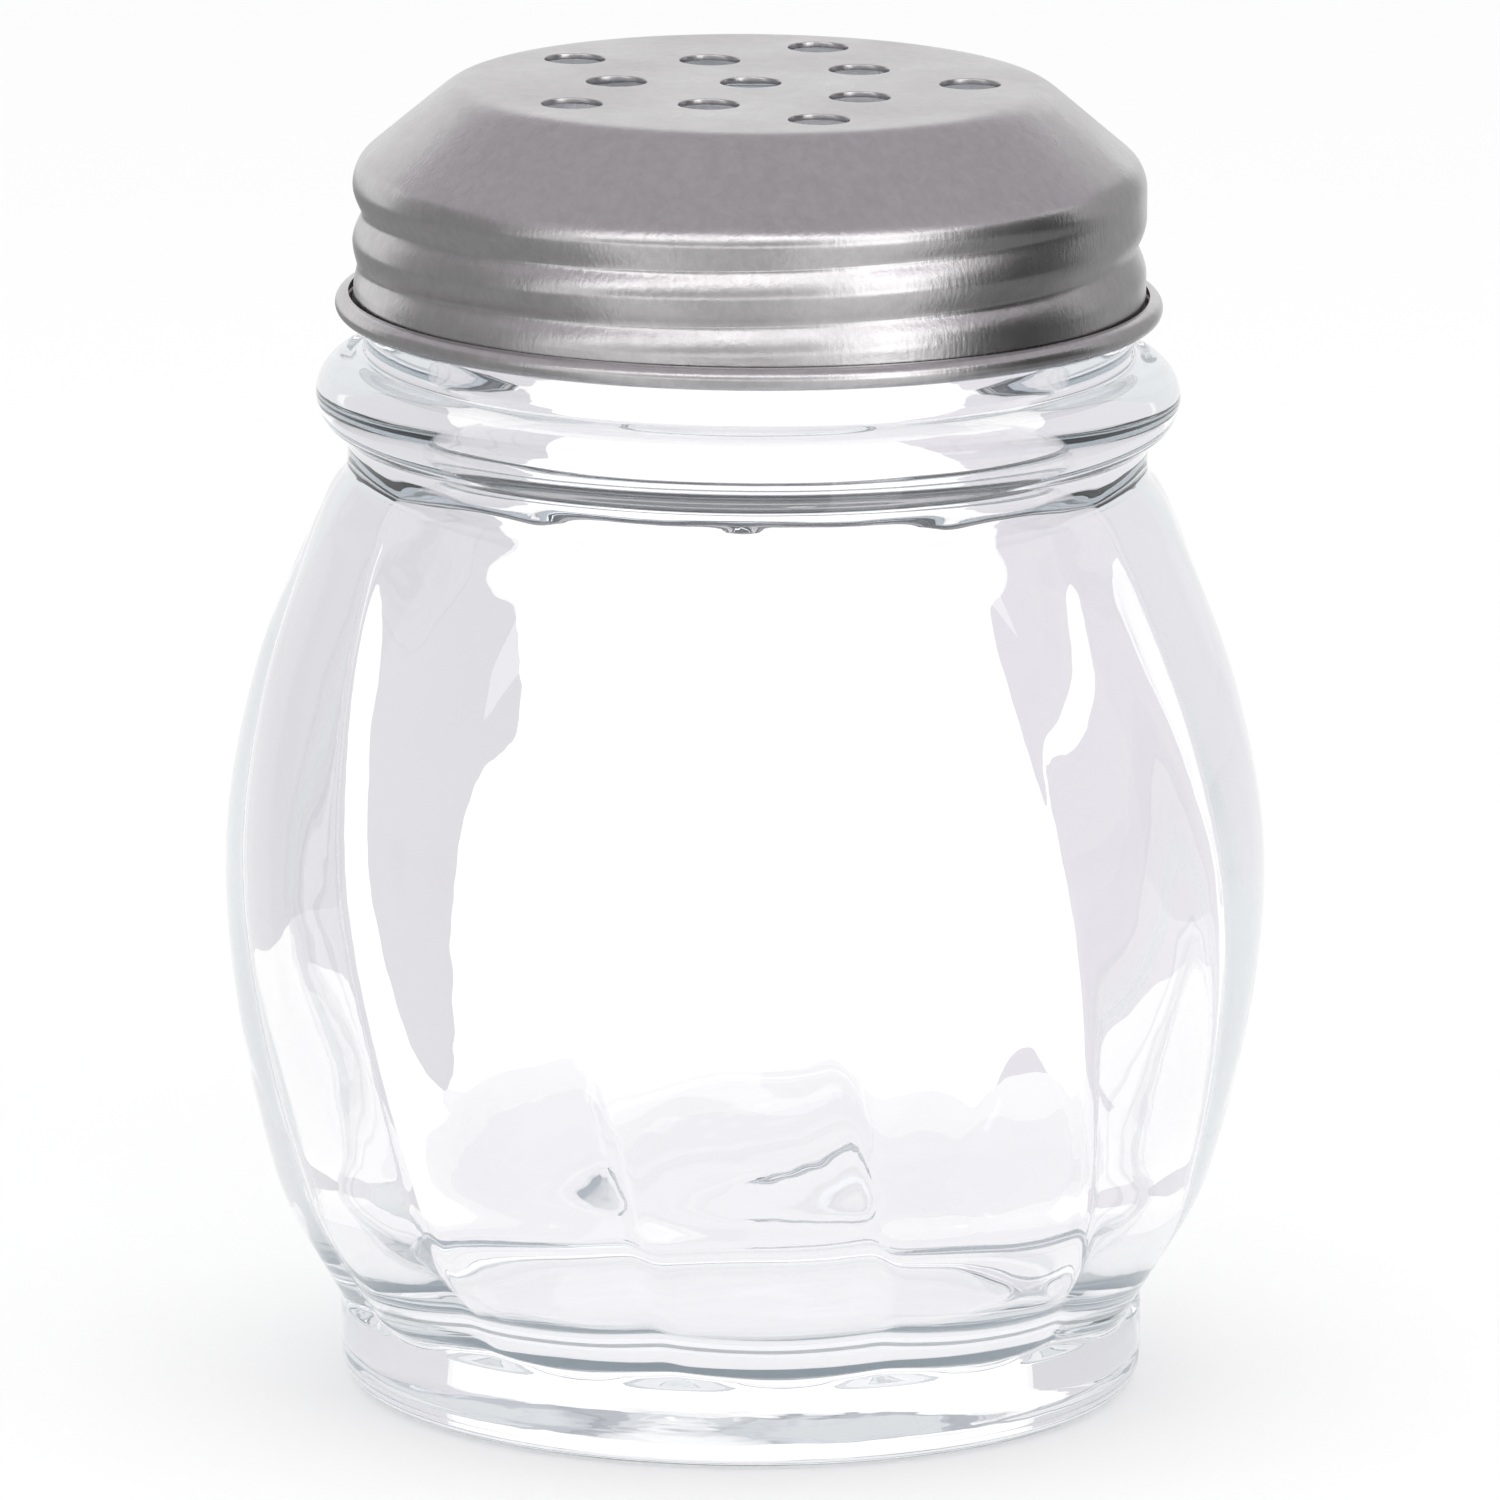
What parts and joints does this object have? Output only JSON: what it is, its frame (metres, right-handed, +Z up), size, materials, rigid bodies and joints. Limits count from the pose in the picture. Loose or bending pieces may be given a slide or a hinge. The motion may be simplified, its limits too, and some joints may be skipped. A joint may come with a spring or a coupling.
{
  "type": "spice shaker",
  "caption": "Swirl-lobed clear glass shaker jar on a round foot, with a grip ring and a perforated stainless steel screw lid for ground cheese or spice.",
  "frame": {"origin": "centre of the foot's resting plane, on the jar's axis", "axes": "+Z up along the jar's axis, -Y towards the front, +X to the right as seen from the front"},
  "size_m": [0.083, 0.083, 0.105],
  "materials": {
    "clear_glass": "polished pressed soda-lime glass with a faint green tint",
    "satin_steel": "satin drawn stainless steel sheet"
  },
  "bodies": {
    "jar": {"glass_jar": "clear_glass"},
    "lid": {"shaker_lid": "satin_steel"}
  },
  "joints": [
    {"name": "lid_lift", "type": "slide", "parent": "jar", "child": "lid", "axis": [0, 0, 1], "range_m": [0, 0.03]}
  ]
}
